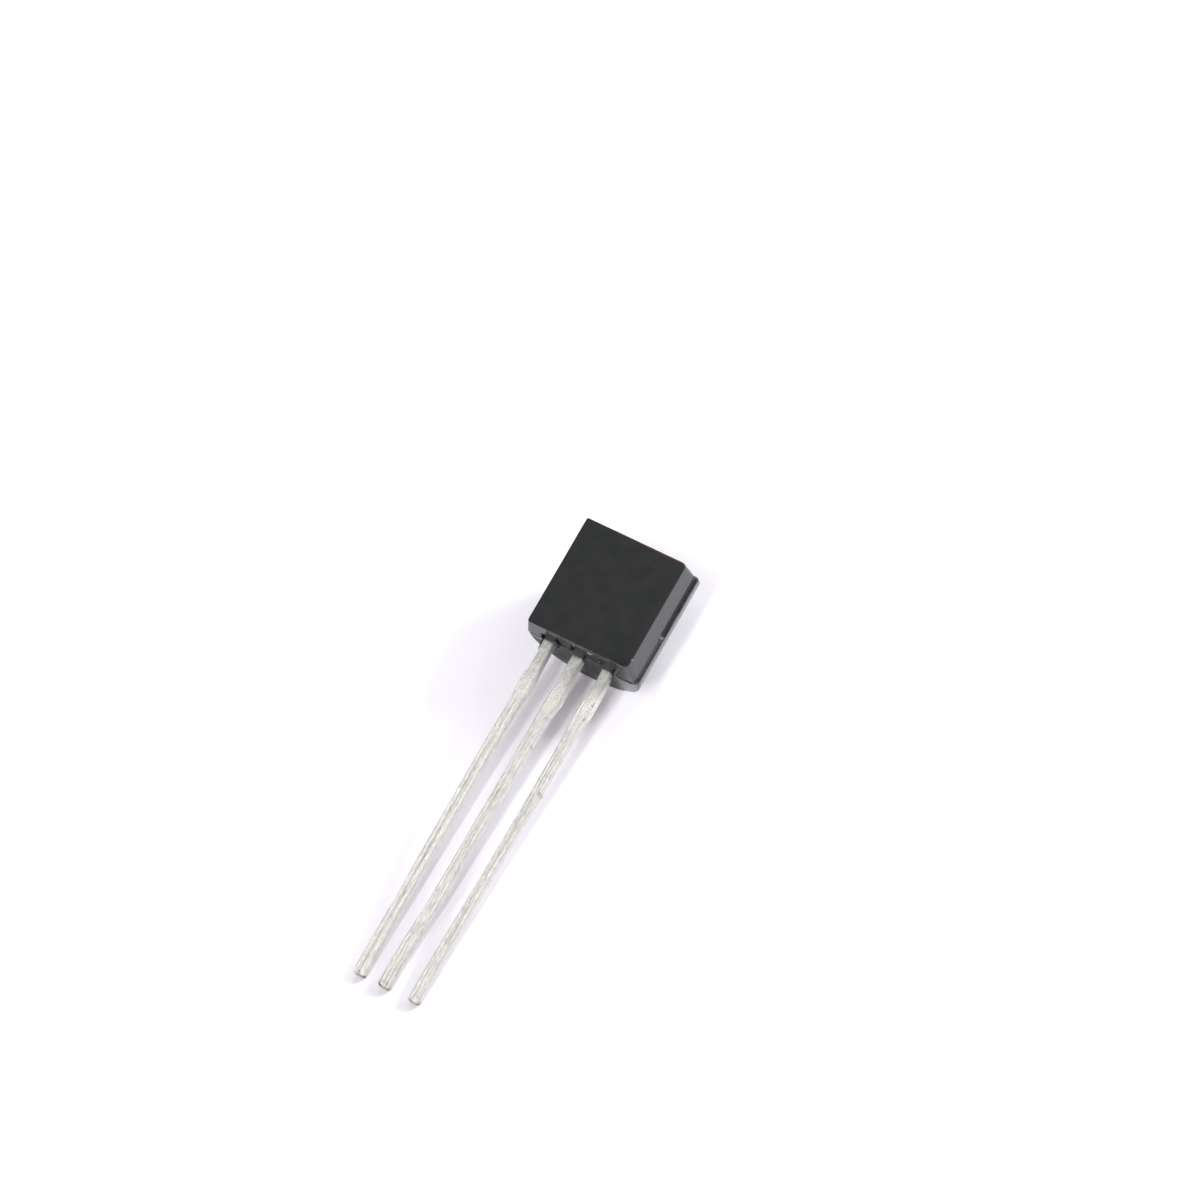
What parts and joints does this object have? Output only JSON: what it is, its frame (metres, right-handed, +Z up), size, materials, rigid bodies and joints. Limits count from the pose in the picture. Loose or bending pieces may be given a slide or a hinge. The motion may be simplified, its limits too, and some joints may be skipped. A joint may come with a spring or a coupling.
{
  "type": "to-92 transistor",
  "caption": "Small-signal transistor: D-shaped moulded epoxy package with a flat face, a round back with an ejector pit, and straight tinned leads.",
  "frame": {"origin": "on the floor, under the middle of the part's box", "axes": "+Y from the lead tips toward the package, +X across the leads, +Z up, out of the flat face but for the slight tilt at which the part rests"},
  "size_m": [0.005, 0.019, 0.0041],
  "materials": {
    "epoxy": "satin charcoal moulding compound, glossier on the round back",
    "tinned_lead": "matte tin over a copper strip",
    "attach": "dull silver-filled attach",
    "silicon": "polished grey silicon",
    "bond_wire": "bright drawn gold-coloured wire"
  },
  "bodies": {
    "root": {"body": "epoxy", "emitter_lead": "tinned_lead", "collector_lead": "tinned_lead", "base_lead": "tinned_lead", "die_attach": "attach", "silicon_die": "silicon", "emitter_bond_wire": "bond_wire", "base_bond_wire": "bond_wire"}
  },
  "joints": []
}
